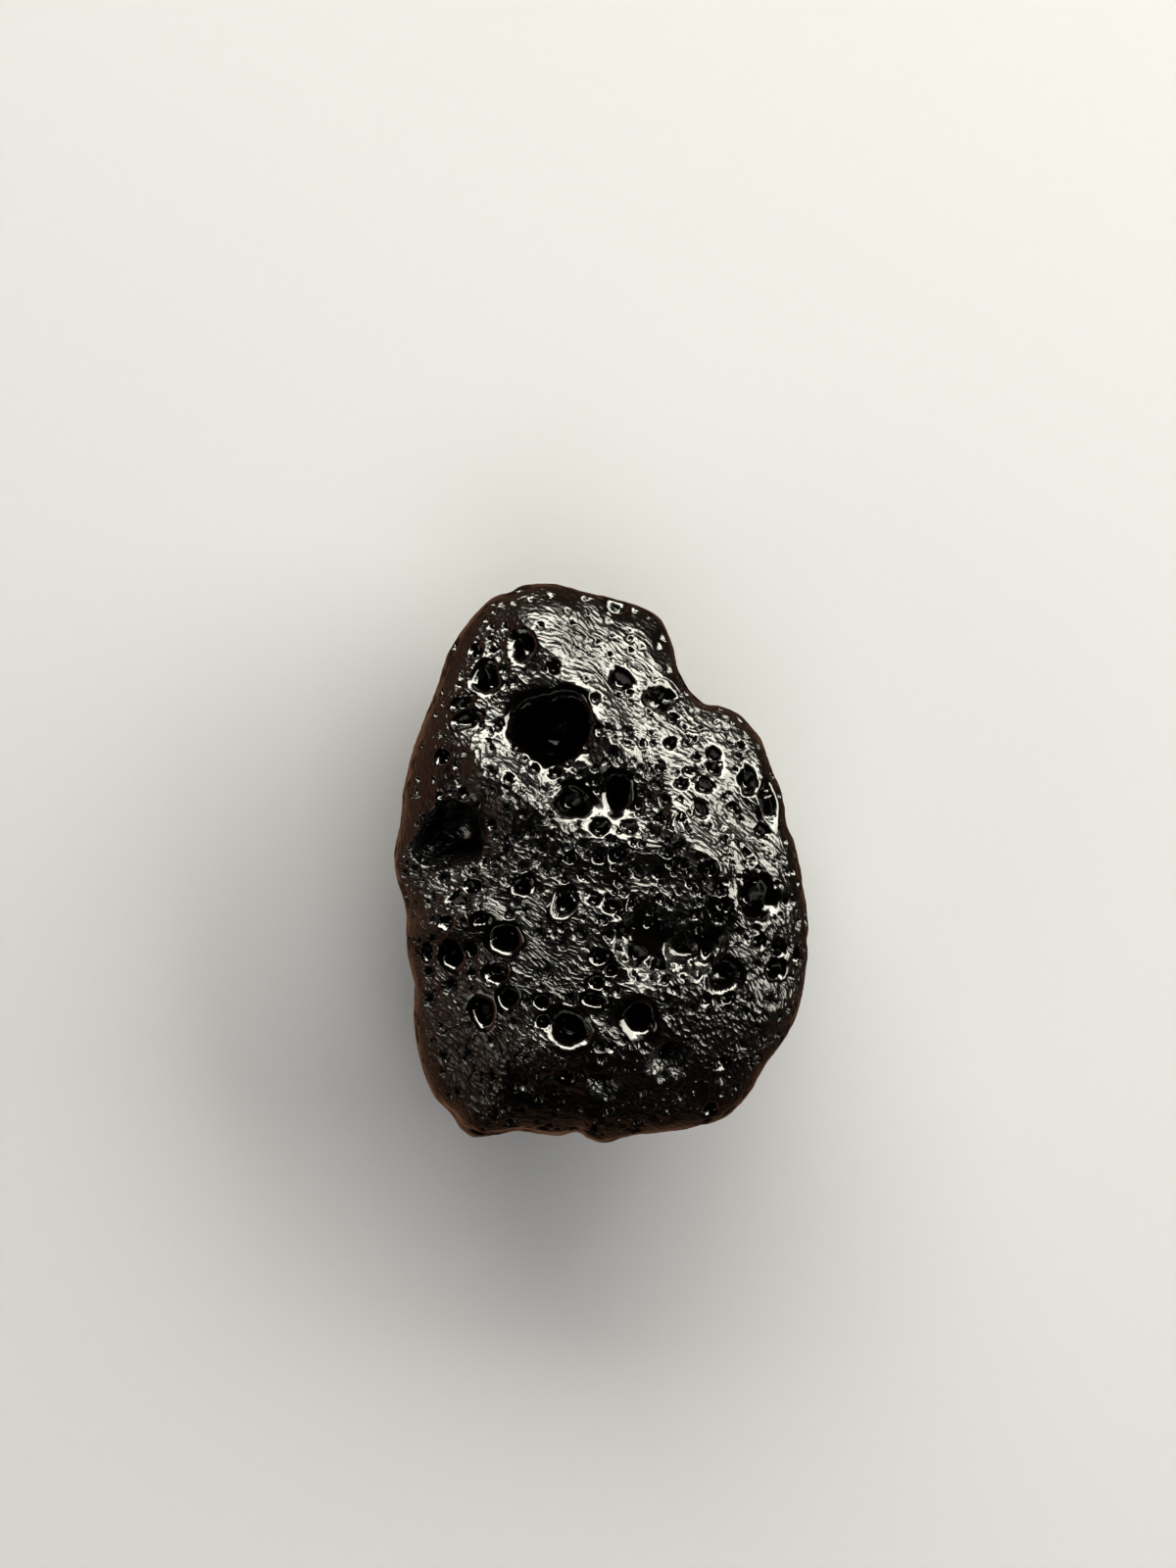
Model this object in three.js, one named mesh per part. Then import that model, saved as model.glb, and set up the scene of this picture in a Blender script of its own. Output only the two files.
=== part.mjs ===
// A small tektite: one lump of natural black glass, etched all over with round bubble pits.
// It lies on its back with its pitted face up. Millimetres, +Z up, +Y towards the narrow end.
// The origin is on the surface that the stone rests on, under the middle of the stone.
//
// Every direction from the middle of the girdle is carried to one point of the stone's skin: first
// on a smooth body with worn faces, swells and hollows, and then down into the pits. Directions are
// chosen in rings around each pit and evenly between them. The triangles are those of their convex
// hull on the unit sphere, so the mesh is always closed.

import * as THREE from "three";
import { ConvexHull } from "three/addons/math/ConvexHull.js";

// ---------------------------------------------------------------- driving dimensions

const GIRDLE_HEIGHT = 4.1; // the widest level, above the resting surface
const CROWN_HEIGHT = 4.4; // the pitted face, above the girdle
const KEEL_DEPTH = 4.25; // the underside, below the girdle, before the resting flat trims it
const CROWN_FULLNESS = 3.8; // 2 is an ellipse in section, more is squarer
const KEEL_FULLNESS = 2.2;
const GIRDLE_BAND = 0.45; // share of the height over which worn faces and relief come in

// The girdle seen from above, clockwise from the narrow end: [x, y].
const GIRDLE = [
  [-2.36, 8.61], [-1.36, 8.64], [-0.64, 8.42], [0.3, 8.24], [1.18, 7.97], [1.85, 7.55],
  [2.24, 6.7], [2.41, 5.97], [2.76, 5.36], [3.18, 4.98], [3.7, 4.88], [4.39, 4.53],
  [4.94, 3.88], [5.26, 2.94], [5.58, 2.12], [5.73, 1.12], [6.0, 0.45], [6.24, -0.7],
  [6.41, -1.94], [6.35, -2.39], [6.39, -2.85], [6.24, -4.03], [5.97, -4.94], [5.52, -5.73],
  [5.05, -6.3], [4.68, -7.03], [4.03, -7.73], [3.36, -8.06], [2.3, -8.27], [1.12, -8.41],
  [0.12, -8.64], [-0.39, -8.52], [-0.76, -8.33], [-1.36, -8.44], [-2.52, -8.33], [-3.3, -8.44],
  [-3.85, -8.52], [-4.3, -8.27], [-4.61, -7.79], [-5.18, -7.2], [-5.55, -6.21], [-5.74, -4.88],
  [-5.73, -3.76], [-5.94, -2.76], [-6.02, -1.48], [-6.33, -0.42], [-6.39, 0.27], [-6.21, 1.3],
  [-6.09, 2.36], [-5.67, 3.94], [-5.12, 5.33], [-4.67, 6.62], [-4.12, 7.41], [-3.47, 8.11],
  [-2.82, 8.38],
];

// Worn faces: [azimuth, elevation, distance from the middle of the girdle, rounding of its rim].
const FACES = [
  [48, 61, 5.1, 0.35], // long slope down the upper right
  [55, 45, 6.0, 0.4], // lobe right of the narrow end
  [128, 58, 6.25, 0.4], // upper left
  [175, 50, 6.1, 0.2], // left flank
  [-150, 52, 6.5, 0.3], // lower left flank
  [-88, 58, 6.75, 0.3], // below the pitted face, towards the wide end
  [-45, 54, 6.75, 0.3], // its right neighbour
  [0, 48, 6.1, 0.3], // right flank
  [150, -50, 4.95, 0.5], // the rest are on the underside
  [-30, -45, 5.2, 0.5],
  [-112, -42, 6.0, 0.5],
  [60, -38, 5.9, 0.4],
];

// Broad relief: [x, y, half length, half width, turn in degrees, rise, flatness, fade]. A flatness
// of 2 is round at the middle and more is level there, with steeper sides. A fade of 2 blends in
// smoothly, and one of 1 leaves a rim.
const CROWN_RELIEF = [
  [-1.9, 3.9, 2.5, 2.0, -35, -0.35, 2, 1.5], // slope down to the deep bowl in the upper half
  [-4.55, 0.9, 1.2, 1.15, 60, -1.15, 4, 1], // bowl beside the left edge
  [-4.3, 0.5, 2.1, 1.6, 60, -0.55, 2, 1.5], // and the slope down to it
  [0.2, 1.85, 2.0, 1.4, 0, -0.45, 2, 2], // dip in the middle
  [1.6, -2.3, 1.15, 1.0, 0, -0.35, 4, 1], // wide hollow below the middle
  [2.9, -2.5, 0.95, 0.85, 15, -0.35, 4, 1],
  [2.2, -2.3, 2.0, 1.3, -4, -0.3, 2, 1.5], // and the slope down to it
  [0.2, -0.4, 2.6, 1.5, -10, -0.3, 2, 2], // low ground above it
  [-4.4, -3.1, 2.2, 1.5, 90, -0.25, 2, 2], // and along the left side
  [-4.2, -1.65, 1.9, 1.0, 0, 0.5, 2, 2], // ridge under the left bowl
  [4.4, 1.2, 1.8, 0.7, -60, -0.42, 2, 2], // groove along the right shoulder
  [-1.6, 7.2, 1.9, 1.3, 10, 0.3, 2, 2], // knob at the narrow end
  [0.0, 4.4, 3.6, 0.85, -55, 0.34, 2, 2], // long ridge down the right half
  [3.2, 0.15, 2.6, 0.95, -56, 0.48, 2, 2],
  [-2.65, 2.2, 2.4, 1.1, -49, 0.48, 2, 2], // saddle between the two bowls
  [1.5, -4.05, 2.4, 0.9, 4, 0.25, 2, 2], // lip under the wide hollow
  [-0.6, -5.9, 3.2, 1.1, 0, 0.3, 2, 2], // swell above the lower face
  [5.2, -4.6, 1.5, 1.0, 30, 0.3, 2, 2], // swell beside the right edge
  [5.0, 3.3, 1.4, 1.3, 0, 0.25, 2, 2], // right shoulder
];
const KEEL_RELIEF = [
  [3.4, 5.2, 2.4, 1.7, 30, -0.8, 2, 2],
  [-3.9, 5.4, 2.2, 1.6, -50, -0.7, 2, 2],
  [-4.3, -4.9, 2.6, 1.8, 60, -0.8, 2, 2],
  [4.2, -5.2, 2.2, 1.6, -35, -0.7, 2, 2],
];

const RELIEF_LIP = 0.1; // how far the rims of the relief are rounded

// Sideways shifts of the relief, see wavered: [turns per mm in x and y, phase, shift].
const WAVER = [
  [1.9, 0.7, 0.4, 0.14],
  [-1.1, 2.6, 1.7, 0.1],
  [3.7, -2.9, 4.1, 0.045],
  [6.1, 5.3, 2.2, 0.02],
];

// Long, low undulations of the whole skin: [x, y and z waves per radius, phase, rise].
const UNDULATIONS = [
  [3.1, 1.7, -2.3, 0.4, 0.1],
  [-2.2, 3.9, 1.9, 1.9, 0.08],
  [4.3, -3.1, 3.7, 3.1, 0.06],
  [-5.1, -4.6, 2.8, 5.2, 0.05],
  [6.2, 5.3, -4.9, 0.9, 0.035],
];

// Bubble pits of the pitted face: [x, y, half length, half width, turn in degrees, depth].
const CROWN_PITS = [
  [-1.5, 4.2, 1.55, 1.42, -15, 1.6], // deep bowl in the upper half
  [-0.83, 1.93, 0.68, 0.5, 0, 0.55], // pair of pockets in the middle
  [0.53, 2.2, 0.72, 0.42, 90, 0.55],
  [3.8, -3.4, 0.6, 0.55, 0, 0.5],
  [-3.53, 5.74, 0.56, 0.47, 95, 0.62],
  [-3.85, 6.58, 0.24, 0.23, 0, 0.24],
  [-2.42, 6.69, 0.52, 0.44, 90, 0.4],
  [-4.26, 4.95, 0.42, 0.24, 15, 0.3],
  [-4.1, 4.42, 0.5, 0.28, 12, 0.3],
  [0.64, 5.67, 0.44, 0.34, -20, 0.35],
  [1.8, 5.1, 0.52, 0.48, 15, 0.42],
  [2.15, 5.2, 0.26, 0.24, 0, 0.25],
  [3.47, 3.4, 0.3, 0.24, -60, 0.32],
  [3.5, 3.02, 0.3, 0.28, 0, 0.32],
  [3.17, 2.43, 0.3, 0.28, 0, 0.3],
  [2.49, 2.5, 0.28, 0.22, 10, 0.22],
  [2.24, 4.5, 0.22, 0.2, 0, 0.22],
  [4.52, 2.6, 0.42, 0.32, 100, 0.4],
  [5.2, 1.9, 0.66, 0.4, 100, 0.5],
  [4.92, 1.02, 0.26, 0.2, -30, 0.22],
  [4.5, 0.32, 0.42, 0.16, -45, 0.2],
  [3.03, 1.68, 0.32, 0.22, -60, 0.24],
  [3.3, -0.12, 0.28, 0.26, 0, 0.26],
  [4.86, -1.06, 0.82, 0.8, 0, 0.3],
  [4.92, -1.08, 0.62, 0.56, 100, 0.8],
  [3.78, -1.25, 0.26, 0.24, 80, 0.25],
  [4.88, -2.36, 0.23, 0.22, 0, 0.22],
  [5.5, -2.6, 0.34, 0.3, -40, 0.35],
  [5.4, -3.2, 0.42, 0.38, 0, 0.42],
  [6.05, -2.85, 0.3, 0.2, 90, 0.22],
  [3.9, -4.1, 0.22, 0.2, 0, 0.2],
  [3.22, -4.15, 0.22, 0.2, 0, 0.2],
  [-0.03, 1.16, 0.32, 0.3, 0, 0.28],
  [-0.03, 0.2, 0.24, 0.22, 0, 0.2],
  [0.5, 0.3, 0.38, 0.36, 0, 0.28],
  [-0.95, 0.2, 0.22, 0.2, 0, 0.2],
  [2.45, 1.4, 0.23, 0.22, 0, 0.2],
  [1.9, 1.42, 0.23, 0.22, 0, 0.2],
  [-1.4, 2.85, 0.28, 0.24, 0, 0.24],
  [-2.8, 2.65, 0.22, 0.2, 0, 0.2],
  [-4.85, 3.3, 0.26, 0.24, 90, 0.25],
  [-3.9, -0.66, 0.29, 0.24, 0, 0.26],
  [-4.36, -1.05, 0.4, 0.26, 0, 0.3],
  [-3.64, -1.7, 0.32, 0.24, 0, 0.26],
  [-2.95, -2.25, 0.53, 0.5, 0, 0.58],
  [-2.39, -0.65, 0.36, 0.32, 20, 0.34],
  [-4.79, -1.8, 0.3, 0.27, 0, 0.26],
  [-5.35, -2.7, 0.34, 0.24, 90, 0.28],
  [-4.55, -2.75, 0.52, 0.4, 100, 0.5],
  [-3.95, -2.6, 0.24, 0.22, 90, 0.25],
  [-3.2, -3.3, 0.48, 0.28, 0, 0.32],
  [-3.63, -4.5, 0.54, 0.42, 90, 0.62],
  [-2.83, -4.08, 0.36, 0.34, 90, 0.4],
  [-1.8, -4.18, 0.27, 0.25, 0, 0.28],
  [-1.75, -4.76, 0.24, 0.22, 0, 0.24],
  [-1.13, -1.18, 0.55, 0.36, 60, 0.45],
  [0.35, -1.2, 0.34, 0.28, 0, 0.28],
  [-0.2, -1.05, 0.22, 0.2, 0, 0.2],
  [0.32, -3.2, 0.24, 0.22, 0, 0.24],
  [-0.05, -2.82, 0.3, 0.22, 0, 0.24],
  [-0.14, -3.58, 0.28, 0.22, 0, 0.24],
  [-0.22, -4.12, 0.42, 0.24, -8, 0.3],
  [-0.95, -5.0, 0.68, 0.6, -10, 0.55],
  [1.17, -4.72, 0.6, 0.55, 90, 0.55],
  [-1.04, -6.5, 0.28, 0.25, 90, 0.28],
  [0.1, -6.77, 0.6, 0.5, -15, 0.25],
  [2.13, -6.0, 0.74, 0.64, -15, 0.35],
  [3.4, -7.62, 0.35, 0.3, 90, 0.35],
  [3.75, -6.1, 0.22, 0.2, 0, 0.2],
];

// A pit is a hole in a funnel.
const HOLE = 0.7; // radius of the hole over the pit's
const FUNNEL_SLOPE = 0.95; // at the edge of the hole; it fades to nothing further out
const FUNNEL_WIDTH = 0.5; // over the pit's radius
const FUNNEL_WIDEST = 0.34;
const FUNNEL_CURVE = 1.5; // power with which its depth fades

// Pits scattered over the sides and the underside.
const SCATTER_SEED = 71;
const SCATTER_COUNT = 84;
const SCATTER_LARGEST = 0.85; // radius; they get smaller one by one
const SCATTER_SMALLEST = 0.24;
const SCATTER_HOLLOWNESS = 0.75; // depth over radius
const SCATTER_NARROWEST = 0.75; // width over length
const SCATTER_TRIES = 60;
const SCATTER_SPREAD = 1.02; // 1 lets neighbouring rims just touch
const SCATTER_TOP = 0.3; // scattered pits stay below this sine of elevation
const RESTING_LEVEL = 0.9; // and above this one below the girdle, clear of the resting flat

// Mesh.
const ROUNDS = 6; // of correction when the way back from a point is looked for
const CROWN_EDGE = 0.98; // share of the girdle's radius where the search for it starts, at most
const CANDIDATES = 40000;
const CROWN_SPACING = 0.41; // between mesh points on the pitted face
const KEEL_SPACING = 0.62; // and at the bottom of the underside
const RING_STEP = 0.3; // along the rim of a pit or bowl
const RING_POINTS = [8, 28]; // fewest and most in a pit's rim
const WIDE_PIT = 0.34; // pits above this half length have three rings, others two
const WIDE_RINGS = [1.1, HOLE, 0.45]; // radii over the pit's own
const NARROW_RINGS = [1.05, 0.6];
const BOWL_RINGS = [1.04, 0.8]; // around the broad hollows with level floors
const CLOSEST = 0.1; // mesh points are never closer than this
const MOST_TURNS = 50000; // edges turned, at most

// ---------------------------------------------------------------- smooth body

// Radius of the girdle at an angle, from a closed spline through its points.
const girdleRadius = (() => {
  const steps = 1440;
  const corners = GIRDLE.map(([x, y]) => new THREE.Vector3(x, y, 0));
  const spline = new THREE.CatmullRomCurve3(corners, true, "catmullrom", 0.5);
  const samples = spline.getPoints(8 * steps).map((p) => ({
    turn: (Math.atan2(p.y, p.x) / (2 * Math.PI) + 1) % 1,
    radius: Math.hypot(p.x, p.y),
  }));
  samples.sort((a, b) => a.turn - b.turn);
  const table = [];
  let k = 0;
  for (let i = 0; i < steps; i++) {
    while (k < samples.length - 1 && samples[k].turn < i / steps) k++;
    table.push(samples[k].radius);
  }
  return (angle) => {
    const place = ((angle / (2 * Math.PI) + 1) % 1) * steps;
    const low = Math.floor(place);
    return THREE.MathUtils.lerp(table[low % steps], table[(low + 1) % steps], place - low);
  };
})();

const faces = FACES.map(([azimuth, elevation, distance, rounding]) => {
  const a = THREE.MathUtils.degToRad(azimuth);
  const e = THREE.MathUtils.degToRad(elevation);
  const level = Math.cos(e);
  const normal = new THREE.Vector3(level * Math.cos(a), level * Math.sin(a), Math.sin(e));
  return { normal, distance, rounding };
});

// Shifts x and y a little to and fro, which makes the relief's outlines irregular.
function wavered(x, y) {
  let shiftX = 0;
  let shiftY = 0;
  for (const [kx, ky, phase, shift] of WAVER) {
    shiftX += shift * Math.sin(kx * x + ky * y + phase);
    shiftY += shift * Math.cos(ky * x - kx * y + phase);
  }
  return [x + shiftX, y + shiftY];
}

// The place that the waver shifts to x, y.
function unwavered(x, y) {
  let [placeX, placeY] = [x, y];
  for (let i = 0; i < ROUNDS; i++) {
    const [movedX, movedY] = wavered(placeX, placeY);
    placeX += x - movedX;
    placeY += y - movedY;
  }
  return [placeX, placeY];
}

// Sum of bumps and bowls, each nothing outside its own turned ellipse.
function reliefAt(x, y, features) {
  const [shiftedX, shiftedY] = wavered(x, y);
  let rise = 0;
  for (const [cx, cy, halfLength, halfWidth, turn, height, flatness, fade] of features) {
    const a = THREE.MathUtils.degToRad(turn);
    const along = (shiftedX - cx) * Math.cos(a) + (shiftedY - cy) * Math.sin(a);
    const across = (shiftedY - cy) * Math.cos(a) - (shiftedX - cx) * Math.sin(a);
    const d = Math.hypot(along / halfLength, across / halfWidth);
    const inside = RELIEF_LIP * Math.log1p(Math.exp((1 - d ** flatness) / RELIEF_LIP));
    rise += height * inside ** fade;
  }
  return rise;
}

// The smooth body's skin in a direction from the middle of the girdle, which is at z = 0 here.
function smoothSkin(direction) {
  const level = Math.hypot(direction.x, direction.y);
  const up = direction.z >= 0;
  const fullness = up ? CROWN_FULLNESS : KEEL_FULLNESS;
  const height = up ? CROWN_HEIGHT : KEEL_DEPTH;
  const scale = (level ** fullness + Math.abs(direction.z) ** fullness) ** (-1 / fullness);
  const radius = girdleRadius(Math.atan2(direction.y, direction.x)) * scale;
  const skin = new THREE.Vector3(radius, radius, height * scale).multiply(direction);
  const offGirdle = THREE.MathUtils.smoothstep(Math.abs(direction.z) * scale, 0, GIRDLE_BAND);
  for (const { normal, distance, rounding } of faces) {
    const excess = (skin.dot(normal) - distance) / rounding;
    const worn = rounding * Math.log1p(Math.exp(Math.min(excess, 30)));
    skin.addScaledVector(normal, -worn * offGirdle);
  }
  const relief = reliefAt(skin.x, skin.y, up ? CROWN_RELIEF : KEEL_RELIEF);
  skin.z += Math.sign(direction.z) * relief * offGirdle;
  let swell = 0;
  for (const [kx, ky, kz, phase, rise] of UNDULATIONS) {
    swell += rise * Math.sin(kx * direction.x + ky * direction.y + kz * direction.z + phase);
  }
  return skin.addScaledVector(direction, swell * Math.abs(direction.z));
}

// Moves a direction until its skin lies closest to a target.
function aim(direction, target, levelOnly) {
  for (let i = 0; i < ROUNDS; i++) {
    const miss = target.clone().sub(smoothSkin(direction));
    const radius = girdleRadius(Math.atan2(direction.y, direction.x));
    const lift = levelOnly ? 0 : miss.z / CROWN_HEIGHT;
    direction.add(new THREE.Vector3(miss.x / radius, miss.y / radius, lift)).normalize();
  }
  return direction;
}

// The direction whose skin lies over the point x, y of the pitted face.
function crownDirection(x, y) {
  const angle = Math.atan2(y, x);
  const share = Math.min(Math.hypot(x, y) / girdleRadius(angle), CROWN_EDGE);
  const lift = (1 - share ** CROWN_FULLNESS) ** (1 / CROWN_FULLNESS);
  const start = new THREE.Vector3(share * Math.cos(angle), share * Math.sin(angle), lift);
  return aim(start.normalize(), new THREE.Vector3(x, y, 0), true);
}

// ---------------------------------------------------------------- pits

// A pit's own frame on the smooth body: its middle, its outward axis and its two half axes.
function placePit(direction, halfLength, halfWidth, turn, depth) {
  const reach = 0.04;
  const middle = smoothSkin(direction);
  const side = new THREE.Vector3(-direction.y, direction.x, 0).normalize();
  const rise = direction.clone().cross(side);
  const a = smoothSkin(direction.clone().addScaledVector(side, reach).normalize());
  const b = smoothSkin(direction.clone().addScaledVector(side, -reach).normalize());
  const c = smoothSkin(direction.clone().addScaledVector(rise, reach).normalize());
  const d = smoothSkin(direction.clone().addScaledVector(rise, -reach).normalize());
  const axis = a.sub(b).cross(c.sub(d)).normalize();
  const angle = THREE.MathUtils.degToRad(turn);
  const along = new THREE.Vector3(Math.cos(angle), Math.sin(angle), 0);
  along.addScaledVector(axis, -along.dot(axis)).normalize();
  const across = axis.clone().cross(along);
  return { direction, middle, axis, along, across, halfLength, halfWidth, depth };
}

// Park and Miller's generator: the same numbers on every run.
function numbers(seed) {
  let state = seed;
  return () => {
    state = (state * 16807) % 2147483647;
    return state / 2147483647;
  };
}

function scatterPits(placed) {
  const next = numbers(SCATTER_SEED);
  for (let i = 0; i < SCATTER_COUNT; i++) {
    const share = Math.sqrt(i / SCATTER_COUNT);
    const radius = THREE.MathUtils.lerp(SCATTER_LARGEST, SCATTER_SMALLEST, share);
    const shape = THREE.MathUtils.lerp(SCATTER_NARROWEST, 1, next());
    const turn = 180 * next();
    for (let tries = 0; tries < SCATTER_TRIES; tries++) {
      const height = THREE.MathUtils.lerp(-RESTING_LEVEL, SCATTER_TOP, next());
      const angle = 2 * Math.PI * next();
      const level = Math.sqrt(1 - height * height);
      const direction = new THREE.Vector3(level * Math.cos(angle), level * Math.sin(angle), height);
      const skin = smoothSkin(direction);
      const clear = placed.every((pit) => {
        return skin.distanceTo(pit.middle) > SCATTER_SPREAD * (radius + pit.halfLength);
      });
      if (!clear) continue;
      const depth = radius * SCATTER_HOLLOWNESS;
      placed.push(placePit(direction, radius, radius * shape, turn, depth));
      break;
    }
  }
}

const pits = CROWN_PITS.map(([x, y, halfLength, halfWidth, turn, depth]) => {
  return placePit(crownDirection(x, y), halfLength, halfWidth, turn, depth);
});
scatterPits(pits);

// How far into a pit a point lies: 0 in the middle, 1 on the rim.
function pitDistance(pit, point) {
  const offset = point.clone().sub(pit.middle);
  if (Math.abs(offset.dot(pit.axis)) > pit.halfLength) return Infinity;
  return Math.hypot(offset.dot(pit.along) / pit.halfLength, offset.dot(pit.across) / pit.halfWidth);
}

// How deep a pit is at that distance.
function pitDepth(pit, d) {
  const hole = pit.depth * Math.sqrt(Math.max(1 - (d / HOLE) ** 2, 0));
  const width = Math.min(FUNNEL_WIDTH * pit.halfWidth, FUNNEL_WIDEST);
  const inwards = THREE.MathUtils.clamp(1 - ((d - HOLE) * pit.halfWidth) / width, 0, 1);
  return hole + ((FUNNEL_SLOPE * width) / FUNNEL_CURVE) * inwards ** FUNNEL_CURVE;
}

// The finished skin in a direction: the smooth body, sunk into the deepest pit there, and no lower
// than the flat that the stone rests on.
function finishedSkin(direction) {
  const skin = smoothSkin(direction);
  let deepest = null;
  let sunk = 0;
  for (const pit of pits) {
    const depth = pitDepth(pit, pitDistance(pit, skin));
    if (depth <= sunk) continue;
    sunk = depth;
    deepest = pit;
  }
  if (deepest) skin.addScaledVector(deepest.axis, -sunk);
  skin.z = Math.max(skin.z + GIRDLE_HEIGHT, 0);
  return skin;
}

// ---------------------------------------------------------------- mesh

// Directions of the mesh points. Each is kept only if its skin is far enough from the others'.
class Sampling {
  constructor() {
    this.directions = [];
    this.cells = new Map();
  }

  cellKey(i, j, k) {
    return (i + 64) * 16384 + (j + 64) * 128 + (k + 64);
  }

  offer(direction, spacing) {
    const skin = smoothSkin(direction);
    const [i, j, k] = skin.toArray().map((v) => Math.floor(v / KEEL_SPACING));
    for (let di = -1; di <= 1; di++) {
      for (let dj = -1; dj <= 1; dj++) {
        for (let dk = -1; dk <= 1; dk++) {
          const near = this.cells.get(this.cellKey(i + di, j + dj, k + dk)) ?? [];
          if (near.some((point) => point.distanceTo(skin) < spacing)) return;
        }
      }
    }
    const key = this.cellKey(i, j, k);
    if (!this.cells.has(key)) this.cells.set(key, []);
    this.cells.get(key).push(skin);
    this.directions.push(direction);
  }

  addPit(pit) {
    const around = 2 * Math.PI * Math.sqrt(pit.halfLength * pit.halfWidth);
    const count = THREE.MathUtils.clamp(Math.round(around / RING_STEP), ...RING_POINTS);
    const rings = pit.halfLength > WIDE_PIT ? WIDE_RINGS : NARROW_RINGS;
    rings.forEach((ring, place) => {
      const points = Math.max(5, Math.round(count * Math.sqrt(ring)));
      for (let i = 0; i < points; i++) {
        const angle = (2 * Math.PI * (i + place / 2)) / points;
        const target = pit.middle.clone();
        target.addScaledVector(pit.along, ring * pit.halfLength * Math.cos(angle));
        target.addScaledVector(pit.across, ring * pit.halfWidth * Math.sin(angle));
        this.offer(aim(pit.direction.clone(), target, false), CLOSEST);
      }
    });
    this.offer(pit.direction, CLOSEST);
  }

  // Rings along the rim of a broad bowl, so that its steep sides keep their shape.
  addBowl([cx, cy, halfLength, halfWidth, turn]) {
    const turned = THREE.MathUtils.degToRad(turn);
    const around = 2 * Math.PI * Math.sqrt(halfLength * halfWidth);
    const points = Math.round(around / RING_STEP);
    BOWL_RINGS.forEach((ring, place) => {
      for (let i = 0; i < points; i++) {
        const angle = (2 * Math.PI * (i + place / 2)) / points;
        const along = ring * halfLength * Math.cos(angle);
        const across = ring * halfWidth * Math.sin(angle);
        const x = cx + along * Math.cos(turned) - across * Math.sin(turned);
        const y = cy + along * Math.sin(turned) + across * Math.cos(turned);
        this.offer(crownDirection(...unwavered(x, y)), CLOSEST);
      }
    });
  }

  addBetween() {
    const golden = Math.PI * (3 - Math.sqrt(5));
    for (let i = 0; i < CANDIDATES; i++) {
      const height = 1 - (2 * i + 1) / CANDIDATES;
      const level = Math.sqrt(1 - height * height);
      const angle = golden * i;
      const direction = new THREE.Vector3(level * Math.cos(angle), level * Math.sin(angle), height);
      const depth = THREE.MathUtils.clamp(-height, 0, 1);
      const skin = smoothSkin(direction);
      if (pits.some((pit) => pitDistance(pit, skin) < 1)) continue;
      this.offer(direction, THREE.MathUtils.lerp(CROWN_SPACING, KEEL_SPACING, depth));
    }
  }
}

// Triangles between the directions, from their convex hull on the unit sphere.
function hullTriangles(directions) {
  const places = new Map(directions.map((direction, i) => [direction, i]));
  const hull = new ConvexHull().setFromPoints(directions);
  return hull.faces.flatMap((face) => {
    const corners = [face.edge.prev, face.edge, face.edge.next];
    return corners.map((edge) => places.get(edge.head().point));
  });
}

// Turns the edge between two triangles wherever the other diagonal of their pair gives better shaped
// triangles on the smooth skin. Every triangle is held as its three edges, each leading to the
// corner opposite it.
function turnEdges(triangles, directions) {
  const points = directions.map(smoothSkin);
  const third = new Map();
  const key = (a, b) => a * points.length + b;
  const put = (a, b, c) => {
    third.set(key(a, b), c);
    third.set(key(b, c), a);
    third.set(key(c, a), b);
  };
  const angleAt = (tip, a, b) => {
    return points[a].clone().sub(points[tip]).angleTo(points[b].clone().sub(points[tip]));
  };
  const facesOut = (a, b, c) => {
    return directions[a].dot(directions[b].clone().cross(directions[c])) > 1e-7;
  };
  const waiting = [];
  for (let i = 0; i < triangles.length; i += 3) {
    const [a, b, c] = triangles.slice(i, i + 3);
    put(a, b, c);
    waiting.push([a, b], [b, c], [c, a]);
  }
  for (let turns = 0; waiting.length > 0 && turns < MOST_TURNS; ) {
    const [a, b] = waiting.pop();
    const c = third.get(key(a, b));
    const d = third.get(key(b, a));
    if (c === undefined || d === undefined || third.has(key(c, d))) continue;
    if (angleAt(c, a, b) + angleAt(d, a, b) < Math.PI + 0.01) continue;
    if (!facesOut(a, d, c) || !facesOut(d, b, c)) continue;
    third.delete(key(a, b));
    third.delete(key(b, a));
    put(a, d, c);
    put(d, b, c);
    waiting.push([a, d], [d, b], [b, c], [c, a]);
    turns++;
  }
  const turned = [];
  for (const [edge, c] of third) {
    const a = Math.floor(edge / points.length);
    const b = edge % points.length;
    if (a < b && a < c) turned.push(a, b, c);
  }
  return turned;
}

// ---------------------------------------------------------------- the stone

function makeStone() {
  const sampling = new Sampling();
  for (const pit of pits) sampling.addPit(pit);
  for (const feature of CROWN_RELIEF) {
    const levelFloor = feature[5] < 0 && feature[6] > 2;
    if (levelFloor) sampling.addBowl(feature);
  }
  sampling.addBetween();
  const geometry = new THREE.BufferGeometry();
  geometry.setFromPoints(sampling.directions.map(finishedSkin));
  const triangles = hullTriangles(sampling.directions);
  geometry.setIndex(turnEdges(triangles, sampling.directions));
  geometry.computeVertexNormals();
  geometry.computeBoundingBox();
  const { min, max } = geometry.boundingBox;
  geometry.translate(-(min.x + max.x) / 2, -(min.y + max.y) / 2, 0);
  const glass = new THREE.MeshStandardMaterial({
    color: 0x0b0b0b,
    roughness: 0.2,
    metalness: 0,
    flatShading: true,
  });
  const stone = new THREE.Mesh(geometry, glass);
  stone.name = "tektite";
  return stone;
}

const tektite = new THREE.Group();
tektite.add(makeStone());

export default tektite;
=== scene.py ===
"""The looks of a small tektite: black natural glass, etched all over with round bubble pits.

The stone is one mesh, made by the same rules as the CAD solid and then carried further: a fine
mesh, more and smaller pits, and a wrinkled skin. Sizes are millimetres until the mesh is made.
"""

import itertools
import math

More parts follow.
